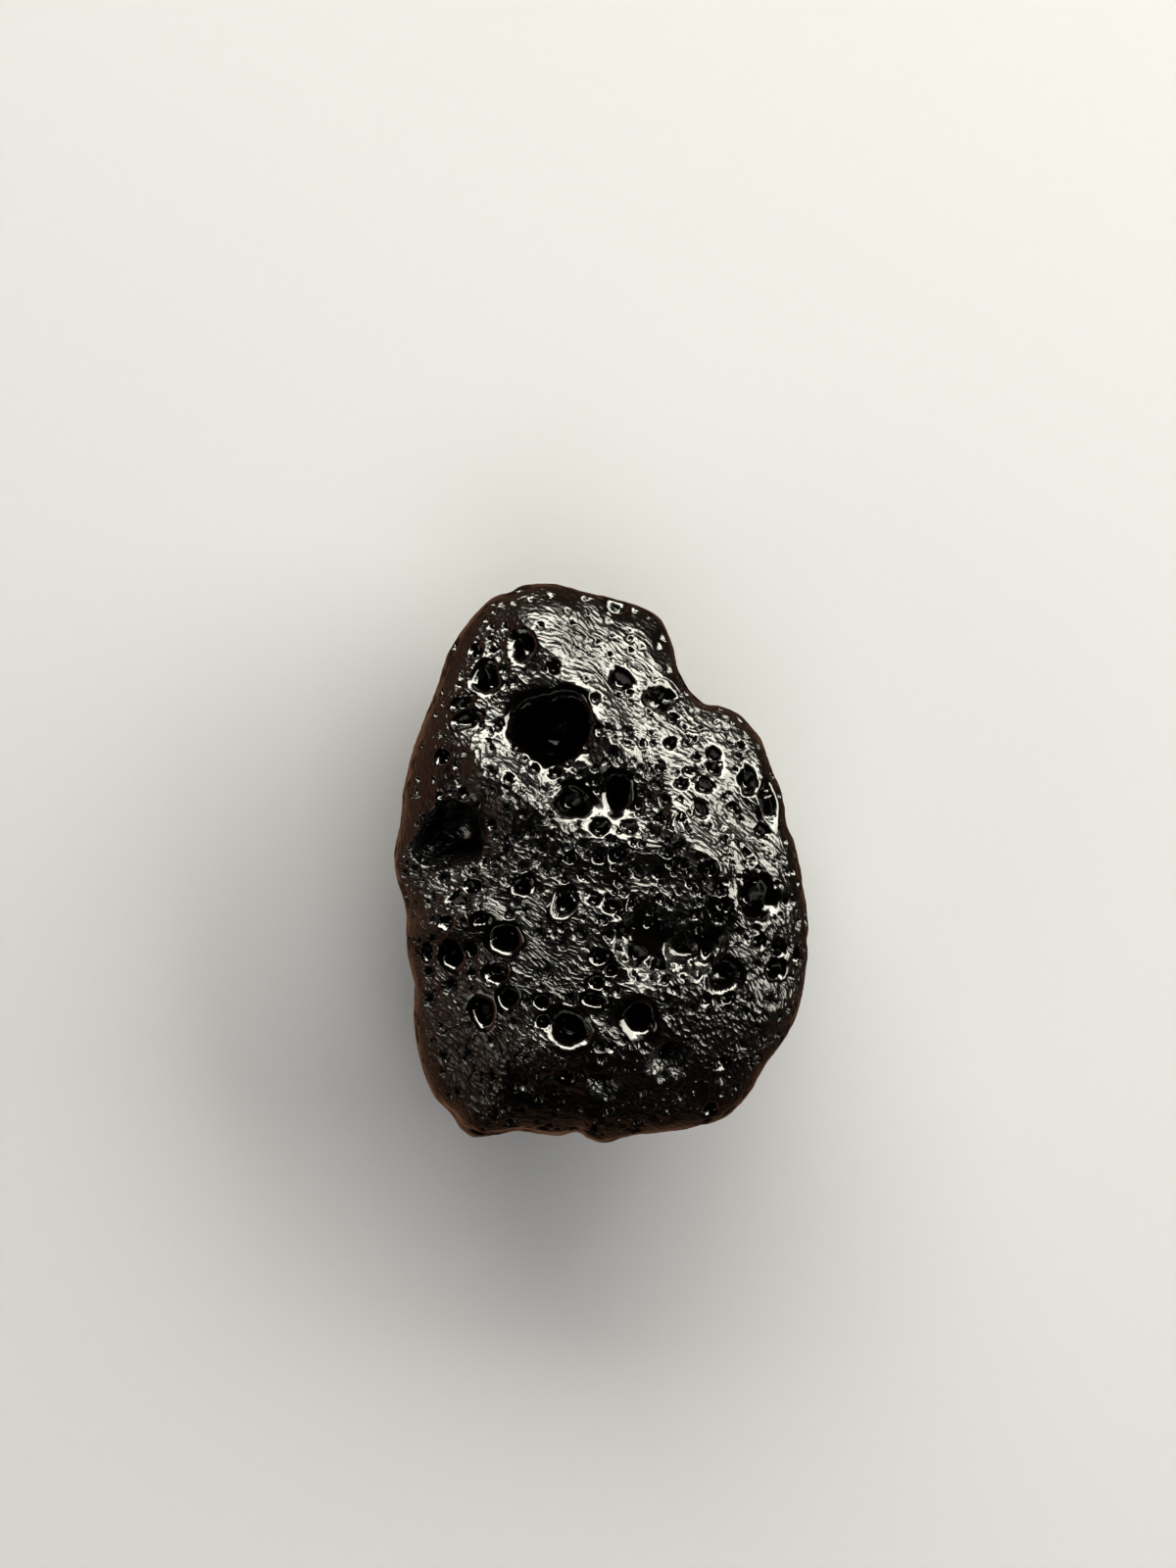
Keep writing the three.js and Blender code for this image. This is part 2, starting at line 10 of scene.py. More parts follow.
import bpy
import numpy as np
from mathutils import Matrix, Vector, kdtree, noise


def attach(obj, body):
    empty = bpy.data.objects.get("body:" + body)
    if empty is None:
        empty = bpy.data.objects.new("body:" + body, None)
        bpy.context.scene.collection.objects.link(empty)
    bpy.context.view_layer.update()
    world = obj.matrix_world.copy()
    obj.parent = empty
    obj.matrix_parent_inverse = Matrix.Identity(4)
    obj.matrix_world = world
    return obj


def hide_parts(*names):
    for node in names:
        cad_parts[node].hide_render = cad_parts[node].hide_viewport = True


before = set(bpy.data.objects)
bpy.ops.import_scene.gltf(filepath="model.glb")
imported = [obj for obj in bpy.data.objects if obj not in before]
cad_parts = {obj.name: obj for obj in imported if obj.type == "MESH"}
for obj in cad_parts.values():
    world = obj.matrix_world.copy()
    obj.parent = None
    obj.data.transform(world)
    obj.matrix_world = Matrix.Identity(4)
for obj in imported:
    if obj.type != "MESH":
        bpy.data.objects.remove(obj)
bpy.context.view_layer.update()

MM = 0.001  # metres

# ---------------------------------------------------------------- the stone's sizes

GIRDLE_HEIGHT = 4.1  # the widest level, above the resting surface
CROWN_HEIGHT = 4.4  # the pitted face, above the girdle
KEEL_DEPTH = 4.25  # the underside, below the girdle, before the resting flat trims it
CROWN_FULLNESS = 3.8  # 2 is an ellipse in section, more is squarer
KEEL_FULLNESS = 2.2
GIRDLE_BAND = 0.45  # share of the height over which worn faces and relief come in

# The girdle seen from above, clockwise from the narrow end: (x, y).
GIRDLE = (
    (-2.36, 8.61), (-1.36, 8.64), (-0.64, 8.42), (0.3, 8.24), (1.18, 7.97), (1.85, 7.55),
    (2.24, 6.7), (2.41, 5.97), (2.76, 5.36), (3.18, 4.98), (3.7, 4.88), (4.39, 4.53),
    (4.94, 3.88), (5.26, 2.94), (5.58, 2.12), (5.73, 1.12), (6.0, 0.45), (6.24, -0.7),
    (6.41, -1.94), (6.35, -2.39), (6.39, -2.85), (6.24, -4.03), (5.97, -4.94), (5.52, -5.73),
    (5.05, -6.3), (4.68, -7.03), (4.03, -7.73), (3.36, -8.06), (2.3, -8.27), (1.12, -8.41),
    (0.12, -8.64), (-0.39, -8.52), (-0.76, -8.33), (-1.36, -8.44), (-2.52, -8.33), (-3.3, -8.44),
    (-3.85, -8.52), (-4.3, -8.27), (-4.61, -7.79), (-5.18, -7.2), (-5.55, -6.21), (-5.74, -4.88),
    (-5.73, -3.76), (-5.94, -2.76), (-6.02, -1.48), (-6.33, -0.42), (-6.39, 0.27), (-6.21, 1.3),
    (-6.09, 2.36), (-5.67, 3.94), (-5.12, 5.33), (-4.67, 6.62), (-4.12, 7.41), (-3.47, 8.11),
    (-2.82, 8.38),
)

# Worn faces: azimuth, elevation, distance from the middle of the girdle, rounding of its rim.
FACES = (
    (48, 61, 5.1, 0.35),  # long slope down the upper right
    (55, 45, 6.0, 0.4),  # lobe right of the narrow end
    (128, 58, 6.25, 0.4),  # upper left
    (175, 50, 6.1, 0.2),  # left flank
    (-150, 52, 6.5, 0.3),  # lower left flank
    (-88, 58, 6.75, 0.3),  # below the pitted face, towards the wide end
    (-45, 54, 6.75, 0.3),  # its right neighbour
    (0, 48, 6.1, 0.3),  # right flank
    (150, -50, 4.95, 0.5),  # the rest are on the underside
    (-30, -45, 5.2, 0.5),
    (-112, -42, 6.0, 0.5),
    (60, -38, 5.9, 0.4),
)

# Broad relief: x, y, half length, half width, turn in degrees, rise, flatness, fade. A flatness of
# 2 is round at the middle and more is level there, with steeper sides. A fade of 2 blends in
# smoothly, and one of 1 leaves a rim.
CROWN_RELIEF = (
    (-1.9, 3.9, 2.5, 2.0, -35, -0.35, 2, 1.5),  # slope down to the deep bowl in the upper half
    (-4.55, 0.9, 1.2, 1.15, 60, -1.15, 4, 1),  # bowl beside the left edge
    (-4.3, 0.5, 2.1, 1.6, 60, -0.55, 2, 1.5),  # and the slope down to it
    (0.2, 1.85, 2.0, 1.4, 0, -0.45, 2, 2),  # dip in the middle
    (1.6, -2.3, 1.15, 1.0, 0, -0.35, 4, 1),  # wide hollow below the middle
    (2.9, -2.5, 0.95, 0.85, 15, -0.35, 4, 1),
    (2.2, -2.3, 2.0, 1.3, -4, -0.3, 2, 1.5),  # and the slope down to it
    (0.2, -0.4, 2.6, 1.5, -10, -0.3, 2, 2),  # low ground above it
    (-4.4, -3.1, 2.2, 1.5, 90, -0.25, 2, 2),  # and along the left side
    (-4.2, -1.65, 1.9, 1.0, 0, 0.5, 2, 2),  # ridge under the left bowl
    (4.4, 1.2, 1.8, 0.7, -60, -0.42, 2, 2),  # groove along the right shoulder
    (-1.6, 7.2, 1.9, 1.3, 10, 0.3, 2, 2),  # knob at the narrow end
    (0.0, 4.4, 3.6, 0.85, -55, 0.34, 2, 2),  # long ridge down the right half
    (3.2, 0.15, 2.6, 0.95, -56, 0.48, 2, 2),
    (-2.65, 2.2, 2.4, 1.1, -49, 0.48, 2, 2),  # saddle between the two bowls
    (1.5, -4.05, 2.4, 0.9, 4, 0.25, 2, 2),  # lip under the wide hollow
    (-0.6, -5.9, 3.2, 1.1, 0, 0.3, 2, 2),  # swell above the lower face
    (5.2, -4.6, 1.5, 1.0, 30, 0.3, 2, 2),  # swell beside the right edge
    (5.0, 3.3, 1.4, 1.3, 0, 0.25, 2, 2),  # right shoulder
)
KEEL_RELIEF = (
    (3.4, 5.2, 2.4, 1.7, 30, -0.8, 2, 2),
    (-3.9, 5.4, 2.2, 1.6, -50, -0.7, 2, 2),
    (-4.3, -4.9, 2.6, 1.8, 60, -0.8, 2, 2),
    (4.2, -5.2, 2.2, 1.6, -35, -0.7, 2, 2),
)

RELIEF_LIP = 0.1  # how far the rims of the relief are rounded
# Sideways shifts of the relief, see wavered: radians per mm in x and y, phase, shift.
WAVER = (
    (1.9, 0.7, 0.4, 0.14),
    (-1.1, 2.6, 1.7, 0.1),
    (3.7, -2.9, 4.1, 0.045),
    (6.1, 5.3, 2.2, 0.02),
)

# Long, low undulations of the whole skin: radians over one radius in x, y and z, phase, rise.
UNDULATIONS = (
    (3.1, 1.7, -2.3, 0.4, 0.1),
    (-2.2, 3.9, 1.9, 1.9, 0.08),
    (4.3, -3.1, 3.7, 3.1, 0.06),
    (-5.1, -4.6, 2.8, 5.2, 0.05),
    (6.2, 5.3, -4.9, 0.9, 0.035),
)

# Bubble pits of the pitted face: x, y, half length, half width, turn in degrees, depth.
CROWN_PITS = (
    (-1.5, 4.2, 1.55, 1.42, -15, 1.6),  # deep bowl in the upper half
    (-0.83, 1.93, 0.68, 0.5, 0, 0.55),  # pair of pockets in the middle
    (0.53, 2.2, 0.72, 0.42, 90, 0.55),
    (3.8, -3.4, 0.6, 0.55, 0, 0.5),
    (-3.53, 5.74, 0.56, 0.47, 95, 0.62),
    (-3.85, 6.58, 0.24, 0.23, 0, 0.24),
    (-2.42, 6.69, 0.52, 0.44, 90, 0.4),
    (-4.26, 4.95, 0.42, 0.24, 15, 0.3),
    (-4.1, 4.42, 0.5, 0.28, 12, 0.3),
    (0.64, 5.67, 0.44, 0.34, -20, 0.35),
    (1.8, 5.1, 0.52, 0.48, 15, 0.42),
    (2.15, 5.2, 0.26, 0.24, 0, 0.25),
    (3.47, 3.4, 0.3, 0.24, -60, 0.32),
    (3.5, 3.02, 0.3, 0.28, 0, 0.32),
    (3.17, 2.43, 0.3, 0.28, 0, 0.3),
    (2.49, 2.5, 0.28, 0.22, 10, 0.22),
    (2.24, 4.5, 0.22, 0.2, 0, 0.22),
    (4.52, 2.6, 0.42, 0.32, 100, 0.4),
    (5.2, 1.9, 0.66, 0.4, 100, 0.5),
    (4.92, 1.02, 0.26, 0.2, -30, 0.22),
    (4.5, 0.32, 0.42, 0.16, -45, 0.2),
    (3.03, 1.68, 0.32, 0.22, -60, 0.24),
    (3.3, -0.12, 0.28, 0.26, 0, 0.26),
    (4.86, -1.06, 0.82, 0.8, 0, 0.3),
    (4.92, -1.08, 0.62, 0.56, 100, 0.8),
    (3.78, -1.25, 0.26, 0.24, 80, 0.25),
    (4.88, -2.36, 0.23, 0.22, 0, 0.22),
    (5.5, -2.6, 0.34, 0.3, -40, 0.35),
    (5.4, -3.2, 0.42, 0.38, 0, 0.42),
    (6.05, -2.85, 0.3, 0.2, 90, 0.22),
    (3.9, -4.1, 0.22, 0.2, 0, 0.2),
    (3.22, -4.15, 0.22, 0.2, 0, 0.2),
    (-0.03, 1.16, 0.32, 0.3, 0, 0.28),
    (-0.03, 0.2, 0.24, 0.22, 0, 0.2),
    (0.5, 0.3, 0.38, 0.36, 0, 0.28),
    (-0.95, 0.2, 0.22, 0.2, 0, 0.2),
    (2.45, 1.4, 0.23, 0.22, 0, 0.2),
    (1.9, 1.42, 0.23, 0.22, 0, 0.2),
    (-1.4, 2.85, 0.28, 0.24, 0, 0.24),
    (-2.8, 2.65, 0.22, 0.2, 0, 0.2),
    (-4.85, 3.3, 0.26, 0.24, 90, 0.25),
    (-3.9, -0.66, 0.29, 0.24, 0, 0.26),
    (-4.36, -1.05, 0.4, 0.26, 0, 0.3),
    (-3.64, -1.7, 0.32, 0.24, 0, 0.26),
    (-2.95, -2.25, 0.53, 0.5, 0, 0.58),
    (-2.39, -0.65, 0.36, 0.32, 20, 0.34),
    (-4.79, -1.8, 0.3, 0.27, 0, 0.26),
    (-5.35, -2.7, 0.34, 0.24, 90, 0.28),
    (-4.55, -2.75, 0.52, 0.4, 100, 0.5),
    (-3.95, -2.6, 0.24, 0.22, 90, 0.25),
    (-3.2, -3.3, 0.48, 0.28, 0, 0.32),
    (-3.63, -4.5, 0.54, 0.42, 90, 0.62),
    (-2.83, -4.08, 0.36, 0.34, 90, 0.4),
    (-1.8, -4.18, 0.27, 0.25, 0, 0.28),
    (-1.75, -4.76, 0.24, 0.22, 0, 0.24),
    (-1.13, -1.18, 0.55, 0.36, 60, 0.45),
    (0.35, -1.2, 0.34, 0.28, 0, 0.28),
    (-0.2, -1.05, 0.22, 0.2, 0, 0.2),
    (0.32, -3.2, 0.24, 0.22, 0, 0.24),
    (-0.05, -2.82, 0.3, 0.22, 0, 0.24),
    (-0.14, -3.58, 0.28, 0.22, 0, 0.24),
    (-0.22, -4.12, 0.42, 0.24, -8, 0.3),
    (-0.95, -5.0, 0.68, 0.6, -10, 0.55),
    (1.17, -4.72, 0.6, 0.55, 90, 0.55),
    (-1.04, -6.5, 0.28, 0.25, 90, 0.28),
    (0.1, -6.77, 0.6, 0.5, -15, 0.25),
    (2.13, -6.0, 0.74, 0.64, -15, 0.35),
    (3.4, -7.62, 0.35, 0.3, 90, 0.35),
    (3.75, -6.1, 0.22, 0.2, 0, 0.2),
)

# Small pits between them, the first four in the walls of the wide hollow: x, y, radius.
SMALL_PITS = (
    (0.62, -2.05, 0.3), (1.12, -2.72, 0.34), (1.72, -3.02, 0.3), (2.28, -3.1, 0.26),
    (-3.34, 7.31, 0.15), (-2.89, 7.28, 0.13), (-3.28, 7.82, 0.13), (-3.52, 7.58, 0.13),
    (-3.79, 6.83, 0.1), (-3.4, 6.92, 0.1), (-3.31, 6.53, 0.13), (-4.61, 6.31, 0.12),
    (-4.09, 7.19, 0.1), (-4.34, 5.5, 0.12), (-2.16, 8.16, 0.12), (-1.86, 7.34, 0.12),
    (-0.89, 7.4, 0.12), (-0.11, 6.8, 0.12), (0.26, 6.4, 0.12), (0.86, 5.29, 0.16),
    (-1.44, 6.01, 0.22), (2.79, 4.74, 0.12), (3.58, 4.41, 0.12), (4.12, 4.38, 0.1),
    (-0.59, -0.33, 0.12), (1.74, -0.3, 0.15), (0.98, 0.69, 0.12), (1.71, 1.33, 0.12),
    (2.04, 1.24, 0.12), (0.8, 3.72, 0.13), (1.28, 3.69, 0.19), (1.37, 3.38, 0.13),
    (1.83, 2.96, 0.19), (2.13, 3.72, 0.22), (2.92, 3.81, 0.16), (2.92, 3.29, 0.16),
    (2.64, 2.84, 0.19), (4.31, 3.66, 0.19), (4.31, 3.11, 0.1), (4.55, 2.3, 0.24),
    (5.18, 2.39, 0.16), (4.0, 1.75, 0.16), (3.67, -0.6, 0.1), (3.13, -0.91, 0.12),
    (2.7, -0.6, 0.12), (4.43, -2.27, 0.1), (2.25, -3.81, 0.12), (-3.73, -1.24, 0.12),
    (-3.94, -3.35, 0.16), (-3.91, -3.78, 0.1), (-0.5, -1.66, 0.1), (-0.02, -1.78, 0.1),
    (0.32, -5.62, 0.13), (1.01, -1.09, 0.15), (1.8, -1.09, 0.17), (2.25, -1.03, 0.13),
    (1.44, -1.81, 0.15), (-5.45, 0.12, 0.15), (-5.12, -0.12, 0.14), (-4.73, 0.03, 0.14),
    (-3.88, -0.21, 0.15), (-1.56, 3.35, 0.22), (-0.5, 3.56, 0.2), (-2.55, 3.6, 0.2),
    (-2.3, 3.25, 0.17), (-2.7, 4.05, 0.22), (-2.62, 4.6, 0.15), (-0.35, 4.35, 0.17),
    (-0.38, 3.85, 0.14), (-0.62, 5.05, 0.15), (-1.0, 3.1, 0.16), (-2.0, 2.98, 0.18),
    (-3.35, 1.2, 0.2), (-3.5, 0.5, 0.17), (-3.75, 1.75, 0.18), (-4.2, 2.15, 0.2),
    (-4.9, 2.1, 0.14), (-3.55, 0.05, 0.15), (1.0, -3.3, 0.16), (1.5, -3.45, 0.14),
    (1.95, -3.5, 0.17), (2.5, -3.45, 0.13), (2.95, -3.35, 0.16), (0.75, -2.9, 0.14),
    (3.4, -3.0, 0.17), (0.3, -2.2, 0.17), (0.55, -1.55, 0.14), (2.9, -1.55, 0.18),
    (1.0, -2.95, 0.17), (1.45, -3.05, 0.15), (1.9, -3.1, 0.16), (0.55, -2.6, 0.16),
    (2.4, -3.1, 0.16), (2.75, -3.0, 0.13), (3.2, -2.65, 0.15), (0.1, -1.7, 0.14),
)
SMALL_HOLLOWNESS = 0.9  # depth over radius

# Pits scattered over the sides and the underside.
SCATTER_SEED = 71
SCATTER_COUNT = 84
SCATTER_LARGEST = 0.85  # radius; they get smaller one by one
SCATTER_SMALLEST = 0.24
SCATTER_HOLLOWNESS = 0.75  # depth over radius
SCATTER_NARROWEST = 0.75  # width over length
SCATTER_TRIES = 60
SCATTER_SPREAD = 1.02  # 1 lets neighbouring rims just touch
SCATTER_TOP = 0.3  # scattered pits stay below this sine of elevation
RESTING_LEVEL = 0.9  # and above this one below the girdle, clear of the resting flat

# Pits along the girdle.
EDGE_SEED = 23
EDGE_COUNT = 110
EDGE_RADII = (0.12, 0.34)  # smallest and largest
EDGE_BIAS = 2  # more makes more of them small
EDGE_NARROWNESS = 0.8  # width over length
EDGE_HOLLOWNESS = 0.6  # depth over radius
EDGE_HEIGHTS = (-0.2, 0.35)  # sines of their elevations

# Tiny pits anywhere on the rippled skin.
TINY_SEED = 5
TINY_COUNT = 1300
TINY_RADII = (0.09, 0.2)  # smallest and largest
TINY_BIAS = 4  # more makes more of them small
TINY_HOLLOWNESS = 1.1  # depth over radius
TINY_FUNNEL = 0.3  # depth of the slope around the hole, over its radius
TINY_REACH = 1.6  # and how far it goes, in radii
TINY_SEARCH = 1.7  # mesh points within so many radii are moved
TINY_CALM = 0.5  # none lies where the skin is calmer than this
TINY_LOWEST = 0.3  # none lies lower than this above the resting surface

# ---------------------------------------------------------------- smooth body

GIRDLE_SAMPLES = 12000
ROUNDS = 6  # of correction when the way back from a point is looked for
CROWN_EDGE = 0.98  # share of the girdle's radius where the search for it starts, at most


def unit(vectors):
    return vectors / np.linalg.norm(vectors, axis=-1, keepdims=True)


def direction_of(azimuth, elevation):
    """The unit vector at an azimuth from +X towards +Y and an elevation, in degrees."""
    a, e = math.radians(azimuth), math.radians(elevation)
    return np.array((math.cos(e) * math.cos(a), math.cos(e) * math.sin(a), math.sin(e)))


def direction_at(angle, height):
    """The unit vector at an angle from +X, in radians, and at a height between -1 and 1."""
    level = math.sqrt(1 - height * height)
    return np.array((level * math.cos(angle), level * math.sin(angle), height))


def turned(x, y, degrees):
    """How far x and y reach along a direction and across it."""
    a = math.radians(degrees)
    along = x * math.cos(a) + y * math.sin(a)
    across = y * math.cos(a) - x * math.sin(a)
    return along, across


def smoothstep(value, low, high):
    t = np.clip((value - low) / (high - low), 0, 1)
    return t * t * (3 - 2 * t)


def girdle_samples():
    """Angles and radii of the closed spline through the girdle's points, by rising angle."""
    corners = np.array(GIRDLE)
    place = np.linspace(0, len(corners), GIRDLE_SAMPLES, endpoint=False)
    first = place.astype(int)
    f = (place - first)[:, None]
    p0, p1, p2, p3 = (corners[(first + step) % len(corners)] for step in (-1, 0, 1, 2))
    curve = 0.5 * (
        2 * p1
        + (p2 - p0) * f
        + (2 * p0 - 5 * p1 + 4 * p2 - p3) * f**2
        + (3 * p1 - p0 - 3 * p2 + p3) * f**3
    )
    angles = np.arctan2(curve[:, 1], curve[:, 0]) % (2 * math.pi)
    order = np.argsort(angles)
    return angles[order], np.hypot(curve[:, 0], curve[:, 1])[order]


GIRDLE_ANGLES, GIRDLE_RADII = girdle_samples()


def girdle_radius(x, y):
    return np.interp(np.arctan2(y, x), GIRDLE_ANGLES, GIRDLE_RADII, period=2 * math.pi)


def wavered(x, y):
    """Shifts x and y a little to and fro, which makes the relief's outlines irregular."""
    shift_x, shift_y = np.zeros_like(x), np.zeros_like(x)
    for kx, ky, phase, shift in WAVER:
        shift_x = shift_x + shift * np.sin(kx * x + ky * y + phase)
        shift_y = shift_y + shift * np.cos(ky * x - kx * y + phase)
    return x + shift_x, y + shift_y


def relief_at(x, y, features):
    """Sum of bumps and bowls, each of which ends softly at its own turned ellipse."""
    x, y = wavered(x, y)
    rise = np.zeros_like(x)
    for cx, cy, half_length, half_width, turn, height, flatness, fade in features:
        along, across = turned(x - cx, y - cy, turn)
        d = np.hypot(along / half_length, across / half_width)
        inside = RELIEF_LIP * np.logaddexp(0, (1 - d**flatness) / RELIEF_LIP)
        rise += height * inside**fade
    return rise


def hollow_at(x, y):
    """1 on the level floors of the broad hollows and 0 outside them."""
    share = np.zeros_like(x)
    for feature in CROWN_RELIEF:
        height, flatness = feature[5:7]
        if height < 0 and flatness > 2:
            share = np.maximum(share, relief_at(x, y, [feature]) / height)
    return share


def smooth_skin(directions):
    """The smooth body's skin in directions from the middle of the girdle, at z = 0 here."""
    directions = np.asarray(directions, dtype=float)
    x, y, z = directions.T
    level = np.hypot(x, y)
    up = z >= 0
    fullness = np.where(up, CROWN_FULLNESS, KEEL_FULLNESS)
    height = np.where(up, CROWN_HEIGHT, KEEL_DEPTH)
    scale = (level**fullness + np.abs(z) ** fullness) ** (-1 / fullness)
    radius = girdle_radius(x, y) * scale
    skin = np.stack((radius * x, radius * y, height * scale * z), axis=1)
    off_girdle = smoothstep(np.abs(z) * scale, 0, GIRDLE_BAND)
    for azimuth, elevation, distance, rounding in FACES:
        normal = direction_of(azimuth, elevation)
        excess = (skin @ normal - distance) / rounding
        worn = rounding * np.logaddexp(0, excess)
        skin -= (worn * off_girdle)[:, None] * normal
    crown = relief_at(skin[:, 0], skin[:, 1], CROWN_RELIEF)
    keel = relief_at(skin[:, 0], skin[:, 1], KEEL_RELIEF)
    skin[:, 2] += np.where(up, crown, -keel) * off_girdle
    swell = np.zeros(len(skin))
    for kx, ky, kz, phase, rise in UNDULATIONS:
        swell += rise * np.sin(kx * x + ky * y + kz * z + phase)
    return skin + (swell * np.abs(z))[:, None] * directions


def crown_direction(x, y):
    """The direction whose skin lies over the point x, y of the pitted face."""
    share = min(math.hypot(x, y) / float(girdle_radius(x, y)), CROWN_EDGE)
    angle = math.atan2(y, x)
    lift = (1 - share**CROWN_FULLNESS) ** (1 / CROWN_FULLNESS)
    direction = unit(np.array((share * math.cos(angle), share * math.sin(angle), lift)))
    for _ in range(ROUNDS):
        miss = (x, y) - smooth_skin(direction[None])[0, :2]
        radius = girdle_radius(direction[0], direction[1])
        direction = unit(direction + (miss[0] / radius, miss[1] / radius, 0))
    return direction


# ---------------------------------------------------------------- pits


class Pit:
    """A round pit with its own frame on the smooth body: a hole in a funnel."""

    REACH = 0.04  # radians to each side, over which the skin's slope is measured
    HOLE = 0.7  # radius of the hole over the pit's
    LIP = 0.06  # how far the edge of the hole is rounded
    FUNNEL_SLOPE = 0.95  # at the edge of the hole; it fades to nothing further out
    FUNNEL_WIDTH = 0.5  # over the pit's radius
    FUNNEL_WIDEST = 0.34
    FUNNEL_CURVE = 1.5  # power with which its depth fades
    SPREAD = 1.6  # nothing of the pit is left from here on
    HEIGHT = 2  # skin further than this many half lengths above or below it isn't in it
    CALM = (0.8, 1.5)  # ripples come in between these shares of the funnel's width
    CALM_DEPTHS = (0.5, 1.1)  # over the radius; shallower pits are rippled like the skin
    SNAP = 0.03  # mesh points this close to the edge of the hole are moved onto it
    RAGGED = ((2, 0.05), (3, 0.06), (5, 0.03))  # lobes of the outline and their size

    def __init__(self, direction, half_length, half_width, turn, depth):
        self.half_length, self.half_width, self.depth = half_length, half_width, depth
        self.funnel_width = min(self.FUNNEL_WIDTH * half_width, self.FUNNEL_WIDEST)
        self.most_calm = smoothstep(depth / half_width, *self.CALM_DEPTHS)
        side = unit(np.array((-direction[1], direction[0], 0.0)))
        rise = np.cross(direction, side)
        around = [direction + self.REACH * step for step in (side, -side, rise, -rise)]
        skin = smooth_skin(np.array([direction] + [unit(d) for d in around]))
        self.middle = skin[0]
        self.axis = unit(np.cross(skin[1] - skin[2], skin[3] - skin[4]))
        angle = math.radians(turn)
        along = np.array((math.cos(angle), math.sin(angle), 0.0))
        self.along = unit(along - along.dot(self.axis) * self.axis)
        self.across = np.cross(self.axis, self.along)

    def distance(self, points):
        """How far into the pit points lie: 0 in the middle, 1 on the rim."""
        offset = points - self.middle
        along = offset @ self.along / self.half_length
        across = offset @ self.across / self.half_width
        d = np.hypot(along, across)
        around = np.arctan2(across, along) + self.middle.sum()
        for lobes, size in self.RAGGED:
            d *= 1 + size * np.sin(lobes * around + self.middle[0] * lobes)
        too_far = np.abs(offset @ self.axis) > self.HEIGHT * self.half_length
        return np.where(too_far, np.inf, d)

    def sunk(self, d):
        """Depth at those distances."""
        inside = np.logaddexp(0, (1 - (d / self.HOLE) ** 2) / self.LIP)
        hole = self.depth * np.sqrt(self.LIP * inside)
        deepest = self.FUNNEL_SLOPE * self.funnel_width / self.FUNNEL_CURVE
        inwards = np.clip(1 - self.along_funnel(d), 0, 1)
        return hole + deepest * inwards**self.FUNNEL_CURVE

    def along_funnel(self, d):
        """0 at the edge of the hole and 1 where the funnel has faded out."""
        return (d - self.HOLE) * self.half_width / self.funnel_width

    def calm(self, d):
        """How far the ripples are gone at those distances."""
        return self.most_calm * (1 - smoothstep(self.along_funnel(d), *self.CALM))

    def snapped(self, points, d):
        """The points, with those near the edge of the hole moved onto it."""
        offset = points - self.middle
        sideways = offset - (offset @ self.axis)[:, None] * self.axis
        close = np.abs(d - self.HOLE) * self.half_width < self.SNAP
        shift = np.where(close, self.HOLE / np.maximum(d, self.SNAP) - 1, 0)
        return points + shift[:, None] * sideways


MODULUS = 2147483647
MULTIPLIER = 16807


def park_miller(seed):
    """Numbers from 0 to 1, the same on every run."""
    state = seed
    while True:
        state = state * MULTIPLIER % MODULUS
        yield state / MODULUS


def scatter_pits(placed):
    """Adds pits to those in placed, each clear of all others."""
    draw = park_miller(SCATTER_SEED)
    for i in range(SCATTER_COUNT):
        share = math.sqrt(i / SCATTER_COUNT)
        radius = SCATTER_LARGEST + (SCATTER_SMALLEST - SCATTER_LARGEST) * share
        narrowness = SCATTER_NARROWEST + (1 - SCATTER_NARROWEST) * next(draw)
        turn = 180 * next(draw)
        for _ in range(SCATTER_TRIES):
            height = -RESTING_LEVEL + (SCATTER_TOP + RESTING_LEVEL) * next(draw)
            direction = direction_at(2 * math.pi * next(draw), height)
            skin = smooth_skin(direction[None])[0]
            gaps = [
                np.linalg.norm(skin - pit.middle) - SCATTER_SPREAD * (radius + pit.half_length)
                for pit in placed
            ]
            if min(gaps) <= 0:
                continue
            depth = radius * SCATTER_HOLLOWNESS
            placed.append(Pit(direction, radius, radius * narrowness, turn, depth))
            break


def edge_pits():
    rng = np.random.default_rng(EDGE_SEED)
    smallest, largest = EDGE_RADII
    made = []
    for angle in np.linspace(0, 2 * math.pi, EDGE_COUNT, endpoint=False):
        direction = direction_at(angle, rng.uniform(*EDGE_HEIGHTS))
        radius = smallest + (largest - smallest) * rng.random() ** EDGE_BIAS
        turn = rng.uniform(0, 180)
        width = radius * EDGE_NARROWNESS
        made.append(Pit(direction, radius, width, turn, radius * EDGE_HOLLOWNESS))
    return made


def all_pits():
    pits = []
    for x, y, half_length, half_width, turn, depth in CROWN_PITS:
        pits.append(Pit(crown_direction(x, y), half_length, half_width, turn, depth))
    scatter_pits(pits)
    for x, y, radius in SMALL_PITS:
        pits.append(Pit(crown_direction(x, y), radius, radius, 0, radius * SMALL_HOLLOWNESS))
    return pits + edge_pits()


# ---------------------------------------------------------------- mesh of directions

MESH_PARTS = 98  # each side of the icosahedron's faces is cut into so many
CROWN_PULL = 0.64  # below 1, the mesh is finer on the pitted face than on the underside
WELD_DIGITS = 7  # points that agree to so many decimals are one
SECTION_SAMPLES = 400


